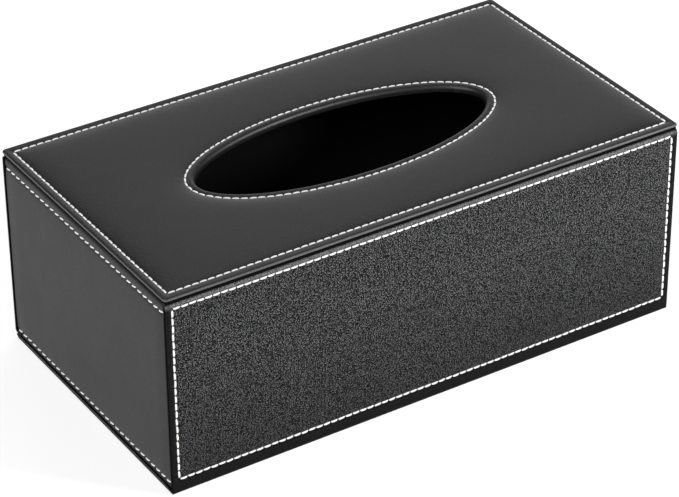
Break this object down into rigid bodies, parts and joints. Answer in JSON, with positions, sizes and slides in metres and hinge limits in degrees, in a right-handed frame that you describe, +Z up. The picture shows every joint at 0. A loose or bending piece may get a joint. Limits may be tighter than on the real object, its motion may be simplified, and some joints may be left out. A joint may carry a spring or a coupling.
{
  "type": "tissue box cover",
  "caption": "Rectangular black leather tissue box cover with contrast stitching, an oval opening in its padded top and a hinged magnetic bottom flap.",
  "frame": {"origin": "middle of the footprint, on the surface that the cover stands on", "axes": "+X along the length, -Y towards the hinged front, +Z up"},
  "size_m": [0.25, 0.138, 0.0943],
  "materials": {
    "leather": "black coated leather, satin, fine grain",
    "board": "fibreboard faced with black paper, matt",
    "lining": "black flocked lining",
    "thread": "white sewing thread",
    "foam": "thin upholstery foam",
    "magnet": "plated bar magnets"
  },
  "bodies": {
    "cover": {"top_board": "board", "front_board": "board", "back_board": "board", "left_end_board": "board", "right_end_board": "board", "top_leather": "leather", "front_leather": "leather", "back_leather": "leather", "left_end_leather": "leather", "right_end_leather": "leather", "top_padding": "foam", "top_lining": "lining", "front_lining": "lining", "back_lining": "lining", "left_end_lining": "lining", "right_end_lining": "lining", "top_edge_stitching": "thread", "opening_stitching": "thread", "front_stitching": "thread", "back_stitching": "thread", "left_end_stitching": "thread", "right_end_stitching": "thread", "wall_magnets": "magnet"},
    "flap": {"flap_board": "board", "flap_leather": "leather", "hinge_strip": "leather", "flap_lining": "lining", "flap_magnets": "magnet"}
  },
  "joints": [
    {"name": "flap_hinge", "type": "hinge", "parent": "cover", "child": "flap", "pos_m": [0, -0.06755, 0.0012], "axis": [-1, 0, 0], "range_deg": [0, 180]}
  ]
}
